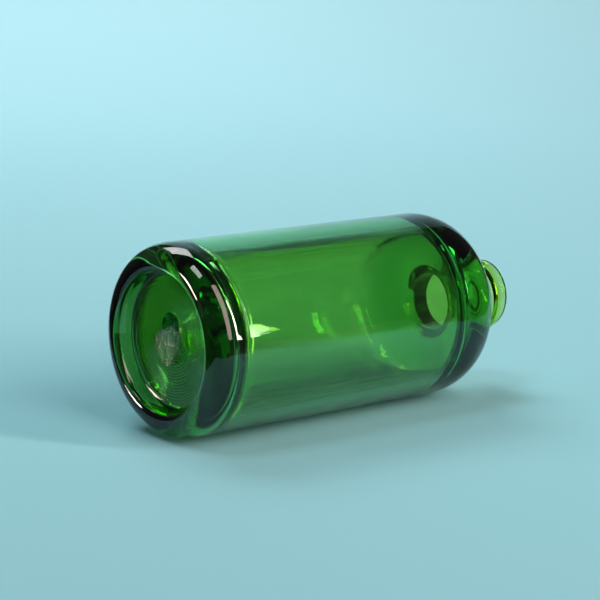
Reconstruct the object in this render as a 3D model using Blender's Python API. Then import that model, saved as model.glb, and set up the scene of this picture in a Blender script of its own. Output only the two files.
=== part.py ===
"""A double-walled green plastic bottle with no cap, lying on its side.

The bottle lies along X, base at -X and mouth at +X, with its lowest flat on the plane z = 0 and the
origin under the middle of its length. The real bottle is two mouldings: a thick clear outer shell, and
a thinner inner bottle that stands in it, carries the neck and the thread, and keeps a narrow gap all
round. Each moulding is built here as its zones, one after another along the axis, each a solid of its
own. Two neighbouring zones of a moulding meet face to face on a plane square to the axis.

Every zone is turned about the axis from outlines of points (radius, height). Height runs along the
axis, from the standing plane under the base to the mouth. Lengths are in metres.
"""

import math

import bmesh
import bpy
from mathutils import Vector

# Outer shell
BODY_RADIUS = 0.0230
BODY_LENGTH = 0.0908
SHELL_WALL = 0.0032
HEEL_WIDTH = 0.0044
HEEL_HEIGHT = 0.0058
SHOULDER_WIDTH = 0.0089
SHOULDER_HEIGHT = 0.0116

# Underside: a narrow standing land, a bevel inside it and a recess with a domed floor
STANDING_LAND = 0.0008
BEVEL_WIDTH = 0.0008
BEVEL_HEIGHT = 0.0005
BEVEL_FILLET = 0.0007
RECESS_SLOPE = 0.00125
RECESS_DEPTH = 0.0039
RECESS_FILLET = 0.0009
RECESS_DOME = 0.0005

# Gate: the rough stub at the middle of the recess, and the round well that it stands in
GATE_RADIUS = 0.0040
GATE_HEIGHT = 0.0028
GATE_OFFSET = 0.0012
GATE_BEVEL = 0.0003
WELL_MARGIN = 0.0005
WELL_DEPTH = 0.0006
WELL_FILLET = 0.0003

# Hollow of the shell: a floor that falls away to a rounded edge, and a shoulder that closes in to the
# hole for the neck
SHELL_FLOOR = 0.0042
FLOOR_EDGE_WIDTH = 0.0085
FLOOR_KNEE_DROP = 0.0006
FLOOR_EDGE_DROP = 0.0027
FLOOR_FILLET = 0.0038
FLOOR_KNEE_FILLET = 0.0110
HOLLOW_TOP_DEPTH = 0.0125
HOLLOW_TOP_FILLET = 0.0060
ENTRANCE_DEPTH = 0.0075
ENTRANCE_FILLET = 0.0020

# Inner bottle: it follows the hollow of the shell
CLEARANCE = 0.0003
INNER_WALL = 0.0011
INNER_FLOOR = 0.0025
BORE_FILLET = 0.0025
ZONE_MARGIN = 0.0010

# Neck
NECK_LENGTH = 0.0138
NECK_RADIUS = 0.0088
NECK_WALL = 0.0015
LIP_HEIGHT = 0.0018
LIP_FILLET = 0.0003

# Thread
THREAD_PITCH = 0.0032
THREAD_TURNS = 1.5
THREAD_HEIGHT = 0.00105
THREAD_ROOT_WIDTH = 0.0022
THREAD_CREST_WIDTH = 0.0009
THREAD_SINK = 0.0004
THREAD_MARGIN = 0.0002
FADE_TURNS = 0.12

# Fineness
SIDES = 48
GATE_SIDES = 24
ARC_STEP = math.radians(18)
SHARP_ANGLE = math.radians(35)
WELD = 0.000001
LEAST_FILLET = 0.0002
MOST_FILLET_SHARE = 0.49

# Heights and radii that follow from the sizes above
TOTAL_LENGTH = BODY_LENGTH + NECK_LENGTH
HOLLOW_RADIUS = BODY_RADIUS - SHELL_WALL
HOLE_RADIUS = NECK_RADIUS + CLEARANCE
BORE_RADIUS = NECK_RADIUS - NECK_WALL
LAND_OUTER = BODY_RADIUS - HEEL_WIDTH
LAND_INNER = LAND_OUTER - STANDING_LAND
BEVEL_INNER = LAND_INNER - BEVEL_WIDTH
RECESS_RADIUS = BEVEL_INNER - RECESS_SLOPE
RING_TOP = RECESS_DEPTH - RECESS_FILLET
WELL_FLOOR_RADIUS = GATE_OFFSET + GATE_RADIUS + WELL_MARGIN
WELL_TOP = RECESS_DEPTH + RECESS_DOME + WELL_DEPTH
FLOOR_KNEE_RADIUS = HOLLOW_RADIUS - FLOOR_EDGE_WIDTH
HOLLOW_FLOOR = WELL_TOP + SHELL_FLOOR
CAVITY_FLOOR = HOLLOW_FLOOR + CLEARANCE + INNER_FLOOR
BARREL_START = CAVITY_FLOOR + ZONE_MARGIN
HOLLOW_TOP = BODY_LENGTH - HOLLOW_TOP_DEPTH
BARREL_END = HOLLOW_TOP - HOLLOW_TOP_FILLET
NECK_ENTRANCE = BODY_LENGTH - ENTRANCE_DEPTH
LIP_START = TOTAL_LENGTH - LIP_HEIGHT
THREAD_RISE = THREAD_TURNS * THREAD_PITCH
THREAD_TOP = LIP_START - THREAD_MARGIN
THREAD_START = THREAD_TOP - THREAD_RISE - THREAD_ROOT_WIDTH
THREAD_ZONE_START = THREAD_START - THREAD_MARGIN

# Turned pieces have flats, and a flat's middle lies at the nominal radius
CORNER_STRETCH = 1 / math.cos(math.pi / SIDES)
HALF_SIDE = math.pi / SIDES


def clear_scene():
    for obj in list(bpy.data.objects):
        bpy.data.objects.remove(obj)


def make_material(name, colour, roughness, transmission):
    """A Principled material."""
    material = bpy.data.materials.new(name)
    material.use_nodes = True
    shader = material.node_tree.nodes["Principled BSDF"]
    shader.inputs["Base Color"].default_value = (*colour, 1)
    shader.inputs["Roughness"].default_value = roughness
    shader.inputs["Metallic"].default_value = 0
    shader.inputs["IOR"].default_value = 1.57
    shader.inputs["Transmission Weight"].default_value = transmission
    material.diffuse_color = (*colour, 1)
    return material


def shell_plastic(zone):
    """The polished clear plastic of the shell, green where it is thick."""
    return make_material(zone + "_plastic", (0.10, 0.46, 0.16), 0.04, 0.9)


def bottle_plastic(zone):
    """The polished clear plastic of the inner bottle, yellower and stronger in colour."""
    return make_material(zone + "_plastic", (0.13, 0.42, 0.03), 0.04, 0.9)


def rough_plastic(zone):
    """The shell's plastic where it was broken off: rough, so it looks paler and greyer."""
    return make_material(zone + "_plastic", (0.16, 0.30, 0.10), 0.45, 0.5)


def rounded(corners):
    """The outline through corners (radius, height, fillet), with an arc for each fillet."""
    outline = []
    for index, (radius, height, fillet) in enumerate(corners):
        corner = Vector((radius, height))
        if not fillet:
            outline.append(corner)
            continue
        back = Vector(corners[index - 1][:2]) - corner
        ahead = Vector(corners[index + 1][:2]) - corner
        half = back.angle(ahead) / 2
        most = MOST_FILLET_SHARE * min(back.length, ahead.length)
        reach = min(fillet / math.tan(half), most)
        arc_radius = reach * math.tan(half)
        middle = (back.normalized() + ahead.normalized()).normalized()
        centre = corner + middle * (arc_radius / math.sin(half))
        start = (corner + back.normalized() * reach - centre).normalized()
        end = (corner + ahead.normalized() * reach - centre).normalized()
        steps = max(2, math.ceil((math.pi - 2 * half) / ARC_STEP))
        for step in range(steps + 1):
            outline.append(centre + start.slerp(end, step / steps) * arc_radius)
    return outline


def quarter(centre_radius, centre_height, width, height, first_angle):
    """A quarter of an ellipse about a centre, from first_angle on, counter-clockwise."""
    steps = math.ceil(math.pi / 2 / ARC_STEP)
    points = []
    for step in range(steps + 1):
        angle = first_angle + math.pi / 2 * step / steps
        points.append(Vector((centre_radius + width * math.cos(angle),
                              centre_height + height * math.sin(angle))))
    return points


def at_height(outline, height):
    """The point where a rising outline passes a height, or its nearest end."""
    for low, high in zip(outline, outline[1:]):
        if low.y < high.y and height <= high.y:
            return low.lerp(high, max(0, (height - low.y) / (high.y - low.y)))
    return outline[-1]


def between(outline, low, high):
    """The stretch of a rising outline from one height to another."""
    inside = [point for point in outline if low < point.y < high]
    return [at_height(outline, low), *inside, at_height(outline, high)]


def below(outline, height):
    """The stretch of an outline from its start on the axis to where its wall passes a height."""
    first = next(index for index, point in enumerate(outline) if point.y >= height)
    return [*outline[:first], at_height(outline[first - 1:], height)]


def shell_outside():
    """The outer surface, from the standing land up the heel, barrel and shoulder."""
    heel = quarter(LAND_OUTER, HEEL_HEIGHT, HEEL_WIDTH, HEEL_HEIGHT, -math.pi / 2)
    shoulder = quarter(BODY_RADIUS - SHOULDER_WIDTH, BODY_LENGTH - SHOULDER_HEIGHT,
                       SHOULDER_WIDTH, SHOULDER_HEIGHT, 0)
    return heel + shoulder


def shell_underside():
    """The recess under the base, from the standing land in and up to the middle of the gate well."""
    return rounded([
        (LAND_INNER, 0, 0),
        (BEVEL_INNER, BEVEL_HEIGHT, BEVEL_FILLET),
        (RECESS_RADIUS, RECESS_DEPTH, RECESS_FILLET),
        (WELL_FLOOR_RADIUS + WELL_DEPTH, RECESS_DEPTH + RECESS_DOME, WELL_FILLET),
        (WELL_FLOOR_RADIUS, WELL_TOP, WELL_FILLET),
        (0, WELL_TOP, 0),
    ])


def hollow_corners():
    """The inside of the shell, from the middle of its floor out, up and in to the hole for the neck."""
    return [
        (0, HOLLOW_FLOOR, 0),
        (FLOOR_KNEE_RADIUS, HOLLOW_FLOOR - FLOOR_KNEE_DROP, FLOOR_KNEE_FILLET),
        (HOLLOW_RADIUS, HOLLOW_FLOOR - FLOOR_EDGE_DROP, FLOOR_FILLET),
        (HOLLOW_RADIUS, HOLLOW_TOP, HOLLOW_TOP_FILLET),
        (HOLE_RADIUS, NECK_ENTRANCE, ENTRANCE_FILLET),
        (HOLE_RADIUS, BODY_LENGTH, 0),
    ]


def inset(corners, distance):
    """The corners of the outline that keeps a distance on the left, from the axis to a rising end."""
    moved = []
    ahead = (Vector(corners[1][:2]) - Vector(corners[0][:2])).normalized()
    moved.append((0, corners[0][1] + distance / ahead.x, 0))
    for before, (radius, height, fillet), after in zip(corners, corners[1:], corners[2:]):
        corner = Vector((radius, height))
        back = (corner - Vector(before[:2])).normalized()
        ahead = (Vector(after[:2]) - corner).normalized()
        left = Vector((-back.y - ahead.y, back.x + ahead.x))
        place = corner + left * (distance / (1 + back.dot(ahead)))
        inner = -distance if back.cross(ahead) > 0 else distance
        moved.append((place.x, place.y, max(LEAST_FILLET, fillet + inner)))
    moved.append((corners[-1][0] - distance, corners[-1][1], 0))
    return moved


def bottle_outside():
    """The outer surface of the inner bottle, from the middle of its floor to the edge of its lip."""
    corners = inset(hollow_corners(), CLEARANCE)
    return rounded([
        *corners[:-1],
        (NECK_RADIUS, TOTAL_LENGTH, LIP_FILLET),
        (BORE_RADIUS, TOTAL_LENGTH, 0),
    ])[:-1]


def cavity():
    """The inner surface of the inner bottle, from the middle of its floor up to the mouth."""
    corners = inset(hollow_corners(), CLEARANCE + INNER_WALL)
    lift = INNER_FLOOR - INNER_WALL
    floor = [(radius, height + lift, fillet) for radius, height, fillet in corners[:3]]
    top = Vector(corners[3][:2])
    entrance = Vector(corners[4][:2])
    bore_start = top.lerp(entrance, (top.x - BORE_RADIUS) / (top.x - entrance.x))
    return rounded([
        *floor,
        corners[3],
        (BORE_RADIUS, bore_start.y, BORE_FILLET),
        (BORE_RADIUS, TOTAL_LENGTH, LIP_FILLET),
        (NECK_RADIUS, TOTAL_LENGTH, 0),
    ])[:-1]


def new_object(name, mesh, axis, material):
    """An object on the bottle's axis, turned half a side so that a flat faces down."""
    mesh.materials.append(material)
    obj = bpy.data.objects.new(name, mesh)
    bpy.context.collection.objects.link(obj)
    obj.parent = axis
    obj.rotation_euler.z = HALF_SIDE
    return obj


def face_outwards(bm):
    """Turns every face of a closed solid outwards."""
    bmesh.ops.recalc_face_normals(bm, faces=bm.faces)
    if bm.calc_volume(signed=True) < 0:
        bmesh.ops.reverse_faces(bm, faces=bm.faces)


def turned(name, outline, closed, axis, plastic):
    """A solid turned about the axis from an outline. One that isn't closed starts and ends on the axis."""
    bm = bmesh.new()
    points = [bm.verts.new((point.x * CORNER_STRETCH, 0, point.y)) for point in outline]
    pairs = list(zip(points, points[1:]))
    if closed:
        pairs.append((points[-1], points[0]))
    edges = [bm.edges.new(pair) for pair in pairs]
    bmesh.ops.spin(bm, geom=points + edges, cent=(0, 0, 0), axis=(0, 0, 1),
                   angle=2 * math.pi, steps=SIDES, use_merge=True)
    bmesh.ops.remove_doubles(bm, verts=bm.verts, dist=WELD)
    face_outwards(bm)
    mesh = bpy.data.meshes.new(name)
    bm.to_mesh(mesh)
    bm.free()
    mesh.shade_smooth()
    mesh.set_sharp_from_angle(angle=SHARP_ANGLE)
    return new_object(name, mesh, axis, plastic(name))


def ring_zone(name, outer, inner, low, high, axis, plastic):
    """A zone that is open along the axis, between two planes square to it."""
    down_outside = list(reversed(between(outer, low, high)))
    return turned(name, down_outside + between(inner, low, high), True, axis, plastic)


def shell_floor(outer, hollow, axis):
    """The shell's thick floor: domed recess and gate well below, floor of the hollow above."""
    underside = shell_underside()
    down = reversed(between(outer, RING_TOP, BARREL_START))
    inwards = [point for point in underside if point.y > RING_TOP]
    outline = [*below(hollow, BARREL_START), *down, at_height(underside, RING_TOP), *inwards]
    return turned("shell_floor", outline, False, axis, shell_plastic)


def inner_floor(outer, inner, axis):
    """The floor of the inner bottle, which stands just clear of the shell's."""
    outline = [*below(inner, BARREL_START), *reversed(below(outer, BARREL_START))]
    return turned("inner_floor", outline, False, axis, bottle_plastic)


def gate_stub(axis):
    """The short stub left where the plastic entered the mould, a little off the axis in its well."""
    bm = bmesh.new()
    bmesh.ops.create_cone(bm, cap_ends=True, segments=GATE_SIDES, radius1=GATE_RADIUS,
                          radius2=GATE_RADIUS, depth=GATE_HEIGHT)
    free_end = [edge for edge in bm.edges if all(vert.co.z < 0 for vert in edge.verts)]
    bmesh.ops.bevel(bm, geom=free_end, offset=GATE_BEVEL, segments=2, affect="EDGES")
    mesh = bpy.data.meshes.new("gate_stub")
    bm.to_mesh(mesh)
    bm.free()
    stub = new_object("gate_stub", mesh, axis, rough_plastic("gate_stub"))
    stub.location = (GATE_OFFSET, 0, WELL_TOP - GATE_HEIGHT / 2)
    return stub


def thread_ridge(axis):
    """The helical ridge of the screw thread, as a guide solid that is joined to the neck."""
    steps = round(THREAD_TURNS * SIDES)
    bm = bmesh.new()
    sections = []
    for step in range(steps + 1):
        turn = step / SIDES
        angle = 2 * math.pi * turn
        fade = min(1, turn / FADE_TURNS, (THREAD_TURNS - turn) / FADE_TURNS)
        crest = NECK_RADIUS + THREAD_HEIGHT * fade - THREAD_SINK / 2 * (1 - fade)
        root = NECK_RADIUS - THREAD_SINK
        middle = THREAD_START + THREAD_ROOT_WIDTH / 2 + THREAD_PITCH * turn
        half_root = THREAD_ROOT_WIDTH / 2
        half_crest = THREAD_CREST_WIDTH / 2
        corners = ((root, -half_root), (crest, -half_crest), (crest, half_crest), (root, half_root))
        section = []
        for radius, height in corners:
            reach = radius * CORNER_STRETCH
            place = (reach * math.cos(angle), reach * math.sin(angle), middle + height)
            section.append(bm.verts.new(place))
        sections.append(section)
    for first, second in zip(sections, sections[1:]):
        for side in range(4):
            after = (side + 1) % 4
            bm.faces.new((first[side], first[after], second[after], second[side]))
    bm.faces.new(sections[0])
    bm.faces.new(sections[-1])
    face_outwards(bm)
    mesh = bpy.data.meshes.new("thread_ridge")
    bm.to_mesh(mesh)
    bm.free()
    ridge = new_object("thread_ridge", mesh, axis, bottle_plastic("thread_ridge"))
    ridge.hide_render = True
    ridge.display_type = "WIRE"
    return ridge


def threaded_neck(outer, inner, axis):
    """The part of the neck that carries the thread."""
    neck = ring_zone("threaded_neck", outer, inner, THREAD_ZONE_START, LIP_START, axis, bottle_plastic)
    join = neck.modifiers.new("Thread", "BOOLEAN")
    join.operation = "UNION"
    join.solver = "EXACT"
    join.object = thread_ridge(axis)
    return neck


def bottle_axis():
    """An empty at the middle of the standing plane, with its Z along the bottle."""
    axis = bpy.data.objects.new("bottle_axis", None)
    bpy.context.collection.objects.link(axis)
    axis.location = (-TOTAL_LENGTH / 2, 0, BODY_RADIUS)
    axis.rotation_euler.y = math.pi / 2
    return axis


def build_shell(axis):
    outer = shell_outside()
    hollow = rounded(hollow_corners())
    gate_stub(axis)
    ring_zone("shell_standing_ring", outer, shell_underside(), 0, RING_TOP, axis, shell_plastic)
    shell_floor(outer, hollow, axis)
    ring_zone("shell_barrel", outer, hollow, BARREL_START, BARREL_END, axis, shell_plastic)
    ring_zone("shell_shoulder", outer, hollow, BARREL_END, BODY_LENGTH, axis, shell_plastic)


def build_inner_bottle(axis):
    outer = bottle_outside()
    inner = cavity()
    inner_floor(outer, inner, axis)
    ring_zone("inner_barrel", outer, inner, BARREL_START, BARREL_END, axis, bottle_plastic)
    ring_zone("inner_shoulder", outer, inner, BARREL_END, BODY_LENGTH, axis, bottle_plastic)
    ring_zone("plain_neck", outer, inner, BODY_LENGTH, THREAD_ZONE_START, axis, bottle_plastic)
    threaded_neck(outer, inner, axis)
    ring_zone("mouth_lip", outer, inner, LIP_START, TOTAL_LENGTH, axis, bottle_plastic)


def main():
    clear_scene()
    axis = bottle_axis()
    build_shell(axis)
    build_inner_bottle(axis)


main()
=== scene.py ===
# %% [markdown]
# A clear green double-walled bottle, lying on its side
#
# The real bottle is two plastic mouldings: a thick clear outer shell, and an inner bottle that stands
# in it with a narrow gap all round and carries the neck. Nearly everything that the eye sees of them is
# light that has passed through the walls, bent and tinted. The looks therefore come from three things
# made with care here: the true outline of all four surfaces, a volume in each moulding that tints light
# by the distance it travels, and the bright and dark places around the bottle that its walls pick up.
#
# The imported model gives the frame: where the bottle lies, how long it is and how thick.

# %% Load the frame
import math

import bpy
from mathutils import Matrix, Vector, noise


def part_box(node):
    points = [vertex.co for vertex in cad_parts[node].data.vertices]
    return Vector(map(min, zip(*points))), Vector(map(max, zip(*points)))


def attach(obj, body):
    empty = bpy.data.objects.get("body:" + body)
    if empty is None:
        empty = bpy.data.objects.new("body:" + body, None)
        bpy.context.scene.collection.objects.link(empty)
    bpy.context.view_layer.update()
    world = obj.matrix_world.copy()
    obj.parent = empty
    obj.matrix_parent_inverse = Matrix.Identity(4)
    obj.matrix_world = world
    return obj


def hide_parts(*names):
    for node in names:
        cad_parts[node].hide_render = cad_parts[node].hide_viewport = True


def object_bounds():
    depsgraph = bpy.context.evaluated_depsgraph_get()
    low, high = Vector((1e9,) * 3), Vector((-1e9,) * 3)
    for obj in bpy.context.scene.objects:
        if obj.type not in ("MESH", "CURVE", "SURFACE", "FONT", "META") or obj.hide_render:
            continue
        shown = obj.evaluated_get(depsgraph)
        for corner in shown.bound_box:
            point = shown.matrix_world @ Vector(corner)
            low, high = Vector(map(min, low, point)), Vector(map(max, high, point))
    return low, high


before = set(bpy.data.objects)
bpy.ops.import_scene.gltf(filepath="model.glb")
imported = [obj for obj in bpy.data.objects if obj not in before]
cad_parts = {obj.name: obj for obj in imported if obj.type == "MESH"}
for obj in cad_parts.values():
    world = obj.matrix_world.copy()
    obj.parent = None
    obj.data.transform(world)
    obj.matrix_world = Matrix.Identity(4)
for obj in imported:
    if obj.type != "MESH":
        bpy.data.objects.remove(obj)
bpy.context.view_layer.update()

print("nodes:", sorted(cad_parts))


# %% [markdown]
# Sizes
#
# Radius means distance from the bottle's axis, and height is counted along the axis, from the plane
# that the bottle would stand on up to its mouth. Every size could be typed in, but then the looks could
# drift away from the solids. So the overall sizes are read from the frame, and only the finer ones, of
# fillets, floors and recess, which the frame doesn't give, are written out here.

# %% Sizes from the frame
def width_of(node):
    """How wide a node is across the bottle's axis."""
    lowest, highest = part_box(node)
    return highest.z - lowest.z


lowest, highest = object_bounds()
AXIS_HEIGHT = (lowest.z + highest.z) / 2
BASE = lowest.x
TOTAL_LENGTH = highest.x - lowest.x
BODY_RADIUS = width_of("shell_barrel") / 2
BODY_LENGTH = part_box("shell_shoulder")[1].x - BASE
NECK_RADIUS = width_of("plain_neck") / 2
THREAD_RADIUS = width_of("threaded_neck") / 2
LIP_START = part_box("mouth_lip")[0].x - BASE
print(f"body {2000 * BODY_RADIUS:.1f} mm across, {1000 * TOTAL_LENGTH:.1f} mm long in all")

# %% Finer sizes of the outer shell
HEEL_WIDTH = 0.0044
HEEL_HEIGHT = 0.0058
SHOULDER_WIDTH = 0.0089
SHOULDER_HEIGHT = 0.0116
STANDING_LAND = 0.0008
BEVEL_WIDTH = 0.0008
BEVEL_HEIGHT = 0.0005
BEVEL_FILLET = 0.0007
RECESS_SLOPE = 0.00125
RECESS_DEPTH = 0.0039
RECESS_FILLET = 0.0003
RECESS_DOME = 0.0005

# %% Finer sizes of the shell's hollow
SHELL_WALL = 0.0032
HOLLOW_FLOOR = 0.0092
FLOOR_EDGE_WIDTH = 0.0085
FLOOR_KNEE_DROP = 0.0006
FLOOR_EDGE_DROP = 0.0027
FLOOR_FILLET = 0.0038
FLOOR_KNEE_FILLET = 0.0110
HOLLOW_TOP_DEPTH = 0.0125
HOLLOW_TOP_FILLET = 0.0060
ENTRANCE_DEPTH = 0.0075
ENTRANCE_FILLET = 0.0020
HOLE_EDGE_FILLET = 0.0003

# %% Finer sizes of the inner bottle
CLEARANCE = 0.0003
INNER_WALL = 0.0011
INNER_FLOOR = 0.0025
BORE_FILLET = 0.0025
NECK_WALL = 0.0015
LIP_FILLET = 0.0003


# %% [markdown]
# The outlines
#
# A turned shape is settled by one line: its outline on one side of the axis. It could be drawn as a
# list of measured points, but a curve made that way has small kinks, and a clear wall shows them all.
# The heel and shoulder of this bottle are quarters of an ellipse, and the other corners are round, so two
# helpers draw those stretches, and the rest of each outline is a handful of corners. A third helper draws
# a line at a distance from another, which gives both surfaces of the inner bottle from the shell's hollow.

# %% Outline helpers
ARC_STEP = math.radians(5)
LEAST_FILLET = 0.0002
MOST_FILLET_SHARE = 0.49
LEAST_ARC_STEPS = 3


def rounded(corners):
    """The outline through corners (radius, height, fillet), with an arc for each fillet."""
    outline = []
    for index, (radius, height, fillet) in enumerate(corners):
        corner = Vector((radius, height))
        if not fillet:
            outline.append(corner)
            continue
        back = Vector(corners[index - 1][:2]) - corner
        ahead = Vector(corners[index + 1][:2]) - corner
        half = back.angle(ahead) / 2
        reach = min(fillet / math.tan(half), MOST_FILLET_SHARE * min(back.length, ahead.length))
        arc_radius = reach * math.tan(half)
        middle = (back.normalized() + ahead.normalized()).normalized()
        centre = corner + middle * (arc_radius / math.sin(half))
        start = (corner + back.normalized() * reach - centre).normalized()
        end = (corner + ahead.normalized() * reach - centre).normalized()
        steps = max(LEAST_ARC_STEPS, math.ceil((math.pi - 2 * half) / ARC_STEP))
        for step in range(steps + 1):
            outline.append(centre + start.slerp(end, step / steps) * arc_radius)
    return outline


def quarter(centre_radius, centre_height, width, height, first_angle):
    """A quarter of an ellipse about a centre, from first_angle on, counter-clockwise."""
    steps = math.ceil(math.pi / 2 / ARC_STEP)
    points = []
    for step in range(steps + 1):
        angle = first_angle + math.pi / 2 * step / steps
        points.append(Vector((centre_radius + width * math.cos(angle),
                              centre_height + height * math.sin(angle))))
    return points


def inset(corners, distance):
    """The corners of the outline that keeps a distance on the left, from the axis to a rising end."""
    moved = []
    ahead = (Vector(corners[1][:2]) - Vector(corners[0][:2])).normalized()
    moved.append((0, corners[0][1] + distance / ahead.x, 0))
    for before, (radius, height, fillet), after in zip(corners, corners[1:], corners[2:]):
        corner = Vector((radius, height))
        back = (corner - Vector(before[:2])).normalized()
        ahead = (Vector(after[:2]) - corner).normalized()
        left = Vector((-back.y - ahead.y, back.x + ahead.x))
        place = corner + left * (distance / (1 + back.dot(ahead)))
        inner = -distance if back.cross(ahead) > 0 else distance
        moved.append((place.x, place.y, max(LEAST_FILLET, fillet + inner)))
    moved.append((corners[-1][0] - distance, corners[-1][1], 0))
    return moved


# %% The shell: under the base, round the heel, over the shoulder, and back down the hollow
LAND_OUTER = BODY_RADIUS - HEEL_WIDTH
LAND_INNER = LAND_OUTER - STANDING_LAND
BEVEL_INNER = LAND_INNER - BEVEL_WIDTH
RECESS_RADIUS = BEVEL_INNER - RECESS_SLOPE
RECESS_TOP = RECESS_DEPTH + RECESS_DOME
HOLLOW_RADIUS = BODY_RADIUS - SHELL_WALL
HOLE_RADIUS = NECK_RADIUS + CLEARANCE
HOLLOW_TOP = BODY_LENGTH - HOLLOW_TOP_DEPTH

underside = rounded([
    (0, RECESS_TOP, 0),
    (RECESS_RADIUS, RECESS_DEPTH, RECESS_FILLET),
    (BEVEL_INNER, BEVEL_HEIGHT, BEVEL_FILLET),
    (LAND_INNER, 0, 0),
])
heel = quarter(LAND_OUTER, HEEL_HEIGHT, HEEL_WIDTH, HEEL_HEIGHT, -math.pi / 2)
shoulder = quarter(BODY_RADIUS - SHOULDER_WIDTH, BODY_LENGTH - SHOULDER_HEIGHT,
                   SHOULDER_WIDTH, SHOULDER_HEIGHT, 0)
hollow_corners = [
    (0, HOLLOW_FLOOR, 0),
    (HOLLOW_RADIUS - FLOOR_EDGE_WIDTH, HOLLOW_FLOOR - FLOOR_KNEE_DROP, FLOOR_KNEE_FILLET),
    (HOLLOW_RADIUS, HOLLOW_FLOOR - FLOOR_EDGE_DROP, FLOOR_FILLET),
    (HOLLOW_RADIUS, HOLLOW_TOP, HOLLOW_TOP_FILLET),
    (HOLE_RADIUS, BODY_LENGTH - ENTRANCE_DEPTH, ENTRANCE_FILLET),
]
hollow = rounded([
    *hollow_corners,
    (HOLE_RADIUS, BODY_LENGTH, HOLE_EDGE_FILLET),
    (BODY_RADIUS - SHOULDER_WIDTH, BODY_LENGTH, 0),
])[:-1]
shell_outline = underside + heel + shoulder + hollow[::-1]
print(len(shell_outline), "points in the shell's outline")

# %% The inner bottle: up its outside to the lip, and back down the bore and the cavity
BORE_RADIUS = NECK_RADIUS - NECK_WALL
FLOOR_LIFT = INNER_FLOOR - INNER_WALL

outside_corners = inset([*hollow_corners, (HOLE_RADIUS, BODY_LENGTH, 0)], CLEARANCE)
cavity_corners = inset([*hollow_corners, (HOLE_RADIUS, BODY_LENGTH, 0)], CLEARANCE + INNER_WALL)
floor = [(radius, height + FLOOR_LIFT, fillet) for radius, height, fillet in cavity_corners[:3]]
top = Vector(cavity_corners[3][:2])
entrance = Vector(cavity_corners[4][:2])
bore_start = top.lerp(entrance, (top.x - BORE_RADIUS) / (top.x - entrance.x))

outside = rounded([
    *outside_corners[:-1],
    (NECK_RADIUS, TOTAL_LENGTH, LIP_FILLET),
    (BORE_RADIUS, TOTAL_LENGTH, 0),
])[:-1]
cavity = rounded([
    *floor,
    cavity_corners[3],
    (BORE_RADIUS, bore_start.y, BORE_FILLET),
    (BORE_RADIUS, TOTAL_LENGTH, LIP_FILLET),
    (NECK_RADIUS, TOTAL_LENGTH, 0),
])[:-1]
bottle_outline = outside + cavity[::-1]
print(len(bottle_outline), "points in the inner bottle's outline")


# %% [markdown]
# Turning the mouldings
#
# Both mouldings are round about one axis. A Screw modifier on a drawn profile would do as well, but here
# each outline is drawn as by hand: a single vertex is extruded from point to point, and the line is then
# spun all the way round the axis. Spinning gives a mesh of even quads, which matters here, because a
# clear wall shows every dent in its mesh.

# %% Helpers for modelling
CLOSE = 1e-7
SIDES = 192


def deselect_all():
    """Nothing stays selected, so that an operator acts on the new piece alone."""
    if bpy.context.mode != "OBJECT":
        bpy.ops.object.mode_set(mode="OBJECT")
    bpy.ops.object.select_all(action="DESELECT")


def make_active(piece):
    deselect_all()
    piece.select_set(True)
    bpy.context.view_layer.objects.active = piece


def place_of(point):
    """Where a point (radius, height) of the outline lies, above the axis."""
    return Vector((BASE + point.y, 0, AXIS_HEIGHT + point.x))


def turned(name, points):
    """A new object, turned about the axis from an outline that starts and ends on the axis."""
    deselect_all()
    places = [place_of(point) for point in points]
    bpy.ops.mesh.primitive_plane_add(size=SHELL_WALL)
    piece = bpy.context.object
    piece.name = name
    bpy.ops.object.mode_set(mode="EDIT")
    bpy.ops.mesh.select_all(action="SELECT")
    bpy.ops.mesh.merge(type="CENTER")
    bpy.ops.transform.translate(value=places[0])
    for before, after in zip(places, places[1:]):
        bpy.ops.mesh.extrude_region_move(TRANSFORM_OT_translate={"value": after - before})
    bpy.ops.mesh.select_all(action="SELECT")
    bpy.ops.mesh.spin(steps=SIDES, angle=2 * math.pi, use_auto_merge=True,
                      center=(0, 0, AXIS_HEIGHT), axis=(1, 0, 0))
    bpy.ops.mesh.select_all(action="SELECT")
    bpy.ops.mesh.remove_doubles(threshold=CLOSE)
    bpy.ops.mesh.normals_make_consistent(inside=False)
    bpy.ops.object.mode_set(mode="OBJECT")
    print(name + ":", len(piece.data.polygons), "faces")
    return piece


# %% Turn the shell and the inner bottle
shell = turned("outer_shell", shell_outline)
bottle = turned("inner_bottle", bottle_outline)


# %% [markdown]
# The screw thread
#
# A closure turns on a ridge that winds one and a half times round the neck. Bump couldn't stand in for
# it, because the light bends in it and its edge shows in the outline. The ridge's section is a small
# square, narrowed at its outer side. It is extruded step by step round the axis, each step also carrying
# it along by its share of the pitch. Near both ends the ridge sinks into the neck, and a union then makes
# it one with the neck, so that no wall is left inside the clear plastic.

# %% Thread sizes
THREAD_PITCH = 0.0032
THREAD_TURNS = 1.5
THREAD_ROOT_WIDTH = 0.0022
THREAD_CREST_WIDTH = 0.0009
THREAD_SINK = 0.0004
THREAD_MARGIN = 0.0002
FADE_TURNS = 0.12
TURN_STEPS = 96
THREAD_START = LIP_START - THREAD_MARGIN - THREAD_TURNS * THREAD_PITCH - THREAD_ROOT_WIDTH / 2


# %% Model the ridge
def ridge_height(turn):
    """How far the ridge stands out of the neck after so many turns."""
    rise = min(1, turn / FADE_TURNS, (THREAD_TURNS - turn) / FADE_TURNS)
    return (THREAD_RADIUS - NECK_RADIUS + THREAD_SINK) * math.sin(rise * math.pi / 2)


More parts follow.
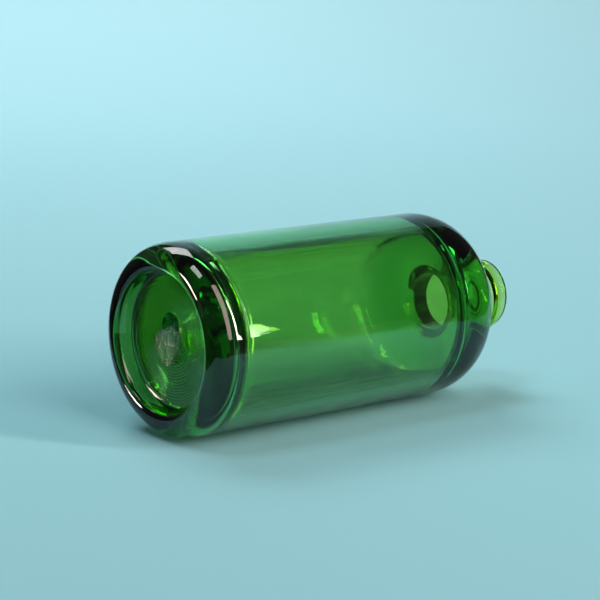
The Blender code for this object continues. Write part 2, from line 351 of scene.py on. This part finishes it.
def model_ridge():
    """The ridge as a closed helical bar that is sunk a little into the neck."""
    deselect_all()
    root = NECK_RADIUS - THREAD_SINK
    bpy.ops.mesh.primitive_plane_add(size=THREAD_ROOT_WIDTH, rotation=(math.pi / 2, 0, 0))
    ridge = bpy.context.object
    ridge.name = "thread_ridge"
    bpy.ops.object.transform_apply(location=False, rotation=True, scale=False)
    depth = ridge_height(THREAD_TURNS / 2)
    for vertex in ridge.data.vertices:
        outer = vertex.co.z > 0
        width = THREAD_CREST_WIDTH if outer else THREAD_ROOT_WIDTH
        vertex.co.x *= width / THREAD_ROOT_WIDTH
        vertex.co.z = depth if outer else 0
    bpy.ops.object.mode_set(mode="EDIT")
    bpy.ops.mesh.select_all(action="SELECT")
    bpy.ops.transform.translate(value=(BASE + THREAD_START, 0, AXIS_HEIGHT + root - depth))
    bpy.ops.mesh.select_all(action="SELECT")
    steps = round(THREAD_TURNS * TURN_STEPS)
    angle = 2 * math.pi / TURN_STEPS
    outward = Vector((0, 0, 1))
    sunk = depth
    for step in range(steps + 1):
        lift = depth - ridge_height(step / TURN_STEPS)
        bpy.ops.transform.translate(value=outward * (sunk - lift))
        sunk = lift
        if step == steps:
            break
        bpy.ops.mesh.extrude_region_move(
            TRANSFORM_OT_translate={"value": (THREAD_PITCH / TURN_STEPS, 0, 0)})
        bpy.ops.transform.rotate(value=-angle, orient_axis="X",
                                 center_override=(0, 0, AXIS_HEIGHT))
        outward = Matrix.Rotation(angle, 3, "X") @ outward
    bpy.ops.mesh.select_all(action="SELECT")
    bpy.ops.mesh.normals_make_consistent(inside=False)
    bpy.ops.object.mode_set(mode="OBJECT")
    return ridge


def combine(piece, other, operation):
    """Joins or cuts a closed solid with another one, and removes the other object."""
    make_active(piece)
    boolean = piece.modifiers.new("Combine", "BOOLEAN")
    boolean.operation = operation
    boolean.solver = "EXACT"
    boolean.object = other
    bpy.ops.object.modifier_apply(modifier=boolean.name)
    bpy.data.objects.remove(other)


# %% Join the ridge to the neck
combine(bottle, model_ridge(), "UNION")
print("inner bottle with thread:", len(bottle.data.polygons), "faces")


# %% [markdown]
# The gate
#
# The plastic entered the shell's mould at the middle of the base. A short rough stub is left there, torn
# off rather than cut, and above it lies a smooth round dimple. Both show from a step away, through the
# clear base, so they are modelled rather than painted: the dimple is cut with a sphere, and the stub is a
# cylinder with a mesh fine enough to be torn by moving its vertices.

# %% Gate sizes
STUB_RADIUS = 0.0040
STUB_HEIGHT = 0.0022
STUB_DROP = 0.0012
STUB_CLEARANCE = 0.00002
STUB_BAND = 0.00035
STUB_SIDES = 72
STUB_CUTS = 5
END_FACING = 0.5
DIMPLE_RADIUS = 0.0045
DIMPLE_RISE = 0.0026
DIMPLE_CENTRE_DROP = 0.0018
DIMPLE_SEGMENTS = 96
DIMPLE_RINGS = 48


# %% Cut the dimple
def on_base(height, rise):
    """The place on the bottle's axis at a height, moved up by a rise."""
    return (BASE + height, 0, AXIS_HEIGHT + rise)


deselect_all()
dimple_middle = on_base(RECESS_TOP - DIMPLE_CENTRE_DROP, DIMPLE_RISE)
bpy.ops.mesh.primitive_uv_sphere_add(segments=DIMPLE_SEGMENTS, ring_count=DIMPLE_RINGS,
                                     radius=DIMPLE_RADIUS, location=dimple_middle,
                                     rotation=(0, math.pi / 2, 0))
dimple = bpy.context.object
bpy.ops.object.transform_apply(location=True, rotation=True, scale=False)
combine(shell, dimple, "DIFFERENCE")
print("shell with dimple:", len(shell.data.polygons), "faces")

# %% Model the stub
deselect_all()
stub_middle = on_base(RECESS_TOP - STUB_CLEARANCE - STUB_HEIGHT / 2, -STUB_DROP)
bpy.ops.mesh.primitive_cylinder_add(vertices=STUB_SIDES, radius=STUB_RADIUS, depth=STUB_HEIGHT,
                                    location=stub_middle, rotation=(0, math.pi / 2, 0))
stub = bpy.context.object
stub.name = "rough_stub"
bpy.ops.object.transform_apply(location=True, rotation=True, scale=False)
bpy.ops.object.mode_set(mode="EDIT")
bpy.ops.mesh.select_all(action="DESELECT")
bpy.ops.mesh.select_mode(type="FACE")
bpy.ops.object.mode_set(mode="OBJECT")
for face in stub.data.polygons:
    face.select = abs(face.normal.x) > END_FACING
bpy.ops.object.mode_set(mode="EDIT")
bpy.ops.mesh.inset(thickness=STUB_BAND)
bpy.ops.mesh.select_all(action="SELECT")
bpy.ops.mesh.subdivide(number_cuts=STUB_CUTS)
bpy.ops.mesh.quads_convert_to_tris()
bpy.ops.object.mode_set(mode="OBJECT")
print("stub:", len(stub.data.polygons), "faces")

# %% [markdown]
# The side of the stub is torn: the plastic was pulled apart while it was warm, which left uneven flutes
# along it and a ragged edge. Sculpting by hand would do this too, but couldn't be repeated by a script.
# Each vertex of the side is drawn in by noise that changes fast round the stub and slowly along it. The
# end is only slightly uneven.

# %% Tear the side
FLUTES_ROUND = 7
FLUTES_ALONG = 500
FLUTE_OCTAVES = 3
FLUTE_DEPTH = 0.0009
TORN_SHARE = 0.2
EDGE_DEPTH = 0.0003
END_ROUGHNESS = 0.0001
END_WAVES = 2500

for vertex in stub.data.vertices:
    across = Vector((0, vertex.co.y, vertex.co.z - stub_middle[2]))
    along = vertex.co.x - stub_middle[0]
    at_edge = max(0, across.length / STUB_RADIUS - (1 - TORN_SHARE)) / TORN_SHARE
    direction = across.normalized() if across.length else across
    place = direction * FLUTES_ROUND + Vector((along * FLUTES_ALONG, 0, 0))
    flute = noise.turbulence(place, FLUTE_OCTAVES, False) * at_edge
    vertex.co -= direction * FLUTE_DEPTH * flute
    if along < 0:
        unevenness = END_ROUGHNESS * noise.noise(vertex.co * END_WAVES)
        vertex.co.x += unevenness + EDGE_DEPTH * flute
reaches = [math.hypot(vertex.co.y, vertex.co.z - stub_middle[2]) for vertex in stub.data.vertices]
print(f"the torn stub reaches {1000 * max(reaches):.2f} mm from its middle")

# %% [markdown]
# Shading
#
# The real walls are smooth, and only the edges of the thread, of the recess and of the torn stub are
# crisp. Smooth shading alone would smear light over those edges, and flat shading would show every facet
# of the walls. So the faces are smooth, and edges sharper than a set angle stay sharp.

# %% Smooth the pieces
SHARP_ANGLE = math.radians(35)
for piece in (shell, bottle, stub):
    make_active(piece)
    bpy.ops.object.shade_smooth_by_angle(angle=SHARP_ANGLE)
print("smoothed", [piece.name for piece in (shell, bottle, stub)])


# %% [markdown]
# Clear plastics
#
# A clear plastic has no colour on its surface. It is colourless where it is thin and deep green where
# light goes a long way through it. A green surface would look the same at the thin lip and at the thick
# heel, so the surface is left white and the green comes from a volume that absorbs most of the red and
# blue. The shell is a cool green. The inner bottle absorbs more, blue above all, so that it looks
# yellow-green even at the thin lip.

# %% Plastic values
PLASTIC_IOR = 1.57
SHELL_ABSORBS = (165, 50, 140)
BOTTLE_ABSORBS = (250, 70, 680)
STUB_ROUGHNESS = 0.12
CLEAR = (1, 1, 1, 1)


# %% Node helpers
def add_node(material, kind, inputs, **settings):
    """A new node with its settings and inputs. An input is a number, a vector or a socket to link."""
    node = material.node_tree.nodes.new(kind)
    for key, value in settings.items():
        setattr(node, key, value)
    for key, value in inputs.items():
        if isinstance(value, bpy.types.NodeSocket):
            material.node_tree.links.new(value, node.inputs[key])
        else:
            node.inputs[key].default_value = value
    return node


def shader_of(material):
    return material.node_tree.nodes["Principled BSDF"]


def object_place(material):
    """The socket of the shaded point's place on the object."""
    return add_node(material, "ShaderNodeTexCoord", {}).outputs["Object"]


def calculate(material, operation, first, second=0):
    """The result socket of a maths node."""
    return add_node(material, "ShaderNodeMath", {0: first, 1: second}, operation=operation).outputs["Value"]


def mix_colours(material, share, first, second):
    """The result socket of a node that mixes two colours: inputs 6 and 7, with the result at output 2."""
    return add_node(material, "ShaderNodeMix", {0: share, 6: first, 7: second}, data_type="RGBA").outputs[2]


# %% Make the plastics
def clear_plastic(name, absorbs, roughness):
    """Polished transparent plastic that absorbs red, green and blue at rates per metre.

    The absorption node takes (1 - colour) * density, so its density is the highest of the three rates.
    """
    material = bpy.data.materials.new(name)
    material.use_nodes = True
    shader = shader_of(material)
    shader.inputs["Base Color"].default_value = CLEAR
    shader.inputs["Roughness"].default_value = roughness
    shader.inputs["IOR"].default_value = PLASTIC_IOR
    shader.inputs["Transmission Weight"].default_value = 1
    density = max(absorbs)
    colour = (*[1 - share / density for share in absorbs], 1)
    absorb = add_node(material, "ShaderNodeVolumeAbsorption", {"Color": colour, "Density": density})
    output = material.node_tree.nodes["Material Output"]
    material.node_tree.links.new(absorb.outputs["Volume"], output.inputs["Volume"])
    return material


for piece, absorbs, roughness in ((shell, SHELL_ABSORBS, 0), (bottle, BOTTLE_ABSORBS, 0),
                                  (stub, SHELL_ABSORBS, STUB_ROUGHNESS)):
    piece.data.materials.clear()
    piece.data.materials.append(clear_plastic(piece.name + "_plastic", absorbs, roughness))
    print(piece.name, "absorbs", absorbs, "per metre")


# %% [markdown]
# Waviness
#
# Blown and moulded walls are never quite flat. The unevenness is far too shallow to show in the outline,
# but it breaks up what is seen through the wall into streaks along the bottle. Moving the vertices would
# need a far finer mesh, so bump does it, in a few layers of noise that are stretched along the axis. The
# shoulder shows smooth rings in the photograph, so the waviness fades out before it.

# %% Add the waviness
SHELL_WAVES = [(45, 3, 0.0003)]
BOTTLE_WAVES = [(60, 6, 0.0006), (170, 8, 0.0003), (420, 14, 0.0001)]
STUB_WAVES = [(1500, 1, 0.0003)]
WAVE_DETAIL = 2
WAVES_FADE_START = 0.044
WAVES_FADE_END = 0.066


def add_waviness(material, layers):
    """Bumps in layers of noise: (waves per metre, stretch along the bottle, depth of the bump)."""
    place = object_place(material)
    along = add_node(material, "ShaderNodeSeparateXYZ", {0: place}).outputs["X"]
    strength = add_node(material, "ShaderNodeMapRange",
                        {"Value": along, "From Min": BASE + WAVES_FADE_START,
                         "From Max": BASE + WAVES_FADE_END, "To Min": 1, "To Max": 0}).outputs["Result"]
    normal = None
    for waves, stretch, depth in layers:
        stretched = add_node(material, "ShaderNodeMapping", {"Vector": place, "Scale": (1 / stretch, 1, 1)})
        pattern = add_node(material, "ShaderNodeTexNoise",
                           {"Vector": stretched.outputs["Vector"], "Scale": waves, "Detail": WAVE_DETAIL})
        inputs = {"Height": pattern.outputs["Fac"], "Distance": depth, "Strength": strength}
        if normal:
            inputs["Normal"] = normal
        normal = add_node(material, "ShaderNodeBump", inputs).outputs["Normal"]
    material.node_tree.links.new(normal, shader_of(material).inputs["Normal"])


for piece, layers in ((shell, SHELL_WAVES), (bottle, BOTTLE_WAVES), (stub, STUB_WAVES)):
    add_waviness(piece.active_material, layers)
    print(piece.name, "has", len(layers), "layers of waviness")


# %% [markdown]
# The recess: painted shade and rings
#
# Seen through the recess under the base, its floor and its side wall look darker than the rest of
# the shell. That darkness is painted shade: a dark tint in the surface stands in for the bottle's own
# shadow and the dark surroundings seen through the base. Fine rings also run round the recess. It could
# have a material of its own, but then a hard line would run where the two meet inside one clear body. So
# the shell's own material finds the recess by radius and height, and only there darkens what passes the
# surface with painted shade and adds rings to the bump.

# %% Paint shade into the recess and add its rings
RECESS_MASK_HEIGHT = 0.0072
# Painted shade: these tints darken what is seen through the recess floor and through its side wall.
RECESS_PAINTED_SHADE = (0.12, 0.24, 0.11, 1)
RECESS_WALL_PAINTED_SHADE = (0.05, 0.15, 0.02, 1)
RING_WAVES = 9000
RING_DEPTH = 0.000012


def add_recess_rings_and_painted_shade(material):
    """Painted shade in the recess, and fine rings turned about the axis, on top of the waviness."""
    centred = add_node(material, "ShaderNodeVectorMath",
                       {0: object_place(material), 1: (-BASE, 0, -AXIS_HEIGHT)},
                       operation="ADD").outputs["Vector"]
    across = add_node(material, "ShaderNodeVectorMath", {0: centred, 1: (0, 1, 1)},
                      operation="MULTIPLY").outputs["Vector"]
    radius = add_node(material, "ShaderNodeVectorMath", {0: across}, operation="LENGTH").outputs["Value"]
    height = add_node(material, "ShaderNodeSeparateXYZ", {0: centred}).outputs["X"]
    low = calculate(material, "LESS_THAN", height, RECESS_MASK_HEIGHT)
    inside = calculate(material, "LESS_THAN", radius, BEVEL_INNER)
    recess = calculate(material, "MULTIPLY", low, inside)
    wall = calculate(material, "GREATER_THAN", radius, RECESS_RADIUS - RECESS_FILLET)
    # Painted shade: darker tints on the recess floor and wall, standing in for shadow seen through the
    # base.
    painted_shade = mix_colours(material, wall, RECESS_PAINTED_SHADE, RECESS_WALL_PAINTED_SHADE)
    colour = mix_colours(material, recess, CLEAR, painted_shade)
    turns = calculate(material, "MULTIPLY", radius, RING_WAVES)
    rings = calculate(material, "SINE", turns)
    relief = calculate(material, "MULTIPLY", rings, recess)
    shader = shader_of(material)
    waviness = shader.inputs["Normal"].links[0].from_socket
    bump = add_node(material, "ShaderNodeBump",
                    {"Height": relief, "Distance": RING_DEPTH, "Normal": waviness})
    material.node_tree.links.new(bump.outputs["Normal"], shader.inputs["Normal"])
    material.node_tree.links.new(colour, shader.inputs["Base Color"])


add_recess_rings_and_painted_shade(shell.active_material)
print(f"recess finished within {2000 * BEVEL_INNER:.1f} mm across")


# %% [markdown]
# Traces of handling
#
# A bottle that has been handled isn't equally glossy all over. Faint smears dull it in places, and they
# soften its reflections a little. They are too thin for bump, so noise raises the roughness instead, and
# only where the noise is high, so that most of the surface stays polished.

# %% Add the traces
TRACE_WAVES = 40
TRACE_DETAIL = 6
TRACE_FADE = 0.6
TRACE_START = 0.5
TRACE_END = 0.75
TRACE_ROUGHNESS = 0.05


def add_traces(material):
    """Roughness that rises from nothing where the noise is above the start value."""
    smears = add_node(material, "ShaderNodeTexNoise",
                      {"Vector": object_place(material), "Scale": TRACE_WAVES, "Detail": TRACE_DETAIL,
                       "Roughness": TRACE_FADE})
    rough = add_node(material, "ShaderNodeMapRange",
                     {"Value": smears.outputs["Fac"], "From Min": TRACE_START, "From Max": TRACE_END,
                      "To Min": 0, "To Max": TRACE_ROUGHNESS})
    material.node_tree.links.new(rough.outputs["Result"], shader_of(material).inputs["Roughness"])


for piece in (shell, bottle):
    add_traces(piece.active_material)
    print(piece.name, "material has", len(piece.active_material.node_tree.nodes), "nodes")


# %% [markdown]
# Camera
#
# The photograph was taken from the bottle's base end, a little from above, with a long lens. A camera
# could be aimed by a constraint, but the photograph is also tilted a little. So its three directions are
# worked out from yaw, pitch and roll, and its place from the distances to the middle of the body.

# %% Place the camera
YAW = math.radians(49.897)
PITCH = math.radians(12.042)
ROLL = math.radians(-1.607)
LENS = 131.1
MIDDLE = Vector((BASE + BODY_LENGTH / 2, 0, AXIS_HEIGHT))
ACROSS = 0.00213
BELOW = 0.00481
AWAY = 0.53111
CLIP_SHARE = 0.01

forward = Vector((math.cos(YAW) * math.cos(PITCH), math.sin(YAW) * math.cos(PITCH), -math.sin(PITCH)))
level_right = Vector((math.sin(YAW), -math.cos(YAW), 0))
level_down = forward.cross(level_right)
right = math.cos(ROLL) * level_right + math.sin(ROLL) * level_down
down = math.cos(ROLL) * level_down - math.sin(ROLL) * level_right
eye = MIDDLE - right * ACROSS - down * BELOW - forward * AWAY

camera_data = bpy.data.cameras.new("camera")
camera_data.lens = LENS
camera_data.clip_start = AWAY * CLIP_SHARE
camera = bpy.data.objects.new("camera", camera_data)
bpy.context.collection.objects.link(camera)
turn = Matrix((right, -down, -forward)).transposed().to_4x4()
camera.matrix_world = Matrix.Translation(eye) @ turn
bpy.context.scene.camera = camera
print("camera at", [round(value, 3) for value in eye])


# %% [markdown]
# Floor
#
# The bottle lies on a sheet of plain pale paper that sweeps up behind it. An endless floor would be
# simpler, but the clear heel mirrors whatever lies beside it, and needs something dark there. The sheet
# is therefore narrow in front, just wider than the camera's view, and past its edges the heel picks up a
# near-black table, a dark stand-in for the shade round the bottle, which gives the rim its dark outline.
# The paper is painted a little paler towards the back, as painted light for the brighter back of the sheet.

# %% Helpers for the stage
PAPER_ROUGHNESS = 0.9
PAPER_GLOSS = 0.2
AHEAD = Vector((math.cos(YAW), math.sin(YAW), 0))
SIDEWAYS = Vector((math.sin(YAW), -math.cos(YAW), 0))


def matt_material(name, colour):
    material = bpy.data.materials.new(name)
    material.use_nodes = True
    shader = shader_of(material)
    shader.inputs["Base Color"].default_value = colour
    shader.inputs["Roughness"].default_value = PAPER_ROUGHNESS
    shader.inputs["Specular IOR Level"].default_value = PAPER_GLOSS
    return material


def staged(name, vertices, faces, material):
    """A surface of the stage, which isn't part of the bottle."""
    mesh = bpy.data.meshes.new(name)
    mesh.from_pydata(vertices, [], faces)
    mesh.shade_smooth()
    mesh.materials.append(material)
    stage = bpy.data.objects.new(name, mesh)
    bpy.context.collection.objects.link(stage)
    print(name + ":", len(faces), "faces")


# %% Sheet sizes
SHEET_COLOUR = (0.25, 0.58, 0.66, 1)
# Painted light: the far colour is paler paper, standing in for the brighter light on the back of the sheet.
SHEET_FAR_PAINTED_LIGHT_COLOUR = (0.38, 0.66, 0.73, 1)
PAINTED_LIGHT_START = 0
PAINTED_LIGHT_END = 0.8
SHEET_NEAR = 0.17
FRONT_LEFT = 0.07
FRONT_RIGHT = 0.12
BACK_LEFT = 0.35
BACK_RIGHT = 0.40
SWEEP_START = 0.50
SWEEP_RADIUS = 0.50
SWEEP_TOP = 2.5
SWEEP_STEPS = 24


# %% Make the sheet
def sheet_outline():
    """The sheet's line from its near edge back and up, as (distance ahead, height)."""
    line = [(-SHEET_NEAR, 0)]
    for step in range(SWEEP_STEPS + 1):
        angle = math.pi / 2 * step / SWEEP_STEPS
        line.append((SWEEP_START + SWEEP_RADIUS * math.sin(angle), SWEEP_RADIUS * (1 - math.cos(angle))))
    line.append((SWEEP_START + SWEEP_RADIUS, SWEEP_TOP))
    return line


def sheet_paper_painted_light():
    """Pale paper painted paler with the distance ahead: painted light for the brighter back of the sheet.
    """
    material = matt_material("sheet_paper_painted_light", SHEET_COLOUR)
    # Painted light: the paper turns paler with the distance ahead, standing in for the brighter-lit sweep.
    ahead = add_node(material, "ShaderNodeVectorMath", {0: object_place(material), 1: tuple(AHEAD)},
                     operation="DOT_PRODUCT")
    painted_light = add_node(material, "ShaderNodeMapRange", {"Value": ahead.outputs["Value"],
                                                     "From Min": PAINTED_LIGHT_START, "From Max": PAINTED_LIGHT_END})
    colour = mix_colours(material, painted_light.outputs["Result"], SHEET_COLOUR, SHEET_FAR_PAINTED_LIGHT_COLOUR)
    material.node_tree.links.new(colour, shader_of(material).inputs["Base Color"])
    return material


def make_sheet():
    """A sheet that widens from its near edge to the sweep."""
    middle = Vector((MIDDLE.x, MIDDLE.y, 0))
    vertices = []
    for ahead, height in sheet_outline():
        share = (ahead + SHEET_NEAR) / (SWEEP_START + SWEEP_RADIUS + SHEET_NEAR)
        left = FRONT_LEFT + (BACK_LEFT - FRONT_LEFT) * share
        right = FRONT_RIGHT + (BACK_RIGHT - FRONT_RIGHT) * share
        for across in (-left, right):
            vertices.append(middle + AHEAD * ahead + SIDEWAYS * across + Vector((0, 0, height)))
    faces = [(i, i + 1, i + 3, i + 2) for i in range(0, len(vertices) - 2, 2)]
    staged("sheet", vertices, faces, sheet_paper_painted_light())


make_sheet()

# %% Make the table
# Painted shade: the table is near black, standing in for the shade round the bottle that gives the rim its
# dark outline.
TABLE_PAINTED_SHADE_COLOUR = (0.02, 0.02, 0.022, 1)
TABLE_DROP = 0.001
TABLE_REACH = 0.9


def make_table():
    """A near-black square table just below the sheet, a dark stand-in for the shade that the heel mirrors.
    """
    middle = Vector((MIDDLE.x, MIDDLE.y, -TABLE_DROP))
    corners = [middle + AHEAD * ahead * TABLE_REACH + SIDEWAYS * across * TABLE_REACH
               for ahead, across in ((-1, -1), (-1, 1), (1, 1), (1, -1))]
    staged("table", corners, [(0, 1, 2, 3)], matt_material("table_painted_shade", TABLE_PAINTED_SHADE_COLOUR))


make_table()


# %% [markdown]
# Light
#
# The photographed bottle has a few clean, warm highlights and otherwise soft light. Large lights all
# round would wash the clear walls out, and small lamps would leave hard dots. So there are five soft
# lights of a modest size: two tall ones on the right, a small one low on the left, one over the left
# side, and one from behind on the left that lights the sweep of the sheet.

# %% Make the lights
WARM = (1, 0.75, 0.68)
WHITE = (1, 1, 1)
WIDE = 180

# Name, azimuth and elevation in degrees, distance, width and height in metres, power in watts, colour,
# spread in degrees, and how far ahead of the bottle it aims in metres
LIGHTS = [
    ("window_a", 43, 38, 1.2, 0.36, 1.4, 9, WARM, WIDE, 0),
    ("window_b", 72, 25, 1.2, 0.08, 0.9, 1.5, WARM, 60, 0),
    ("left_low", -84, 5, 1.0, 0.12, 0.2, 0.8, WARM, 90, 0),
    ("over", -60, 70, 1.3, 0.4, 0.4, 3.2, WHITE, WIDE, 0),
    ("sweep_light", -150, 50, 1.2, 0.6, 0.6, 4.5, WHITE, 120, 0.7),
]


def add_light(name, azimuth, elevation, distance, width, height, power, colour, spread, ahead):
    """A soft light, aimed at a point some way ahead. Azimuth 0 is the camera's side, 90 its right."""
    azimuth = math.radians(azimuth)
    elevation = math.radians(elevation)
    level = SIDEWAYS * math.sin(azimuth) - AHEAD * math.cos(azimuth)
    direction = level * math.cos(elevation) + Vector((0, 0, math.sin(elevation)))
    data = bpy.data.lights.new(name, "AREA")
    data.shape = "RECTANGLE"
    data.size = width
    data.size_y = height
    data.energy = power
    data.color = colour
    data.spread = math.radians(spread)
    light = bpy.data.objects.new(name, data)
    bpy.context.collection.objects.link(light)
    light.location = MIDDLE + direction * distance
    aim = MIDDLE + AHEAD * ahead - light.location
    light.rotation_euler = aim.to_track_quat("-Z", "Y").to_euler()


for values in LIGHTS:
    add_light(*values)
print(len(LIGHTS), "lights")

# %% Dim surroundings
SURROUNDINGS_COLOUR = (0.3, 0.3, 0.3, 1)
SURROUNDINGS_STRENGTH = 0.16

world = bpy.data.worlds.new("surroundings")
world.use_nodes = True
background = world.node_tree.nodes["Background"]
background.inputs["Color"].default_value = SURROUNDINGS_COLOUR
background.inputs["Strength"].default_value = SURROUNDINGS_STRENGTH
bpy.context.scene.world = world
bpy.context.scene.view_settings.view_transform = "Standard"
print("surroundings at strength", SURROUNDINGS_STRENGTH)


# %% [markdown]
# Handing over
#
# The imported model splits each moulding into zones, which would show as inner walls in clear plastic. The
# zones could be dressed one by one, but here each whole piece stands for all the zones that it covers,
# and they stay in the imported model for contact.

# %% Tie the pieces to the frame
for piece in (shell, bottle, stub):
    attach(piece, "root")
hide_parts("shell_standing_ring", "shell_floor", "shell_barrel", "shell_shoulder")
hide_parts("inner_floor", "inner_barrel", "inner_shoulder",
            "plain_neck", "threaded_neck", "mouth_lip")
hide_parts("gate_stub")
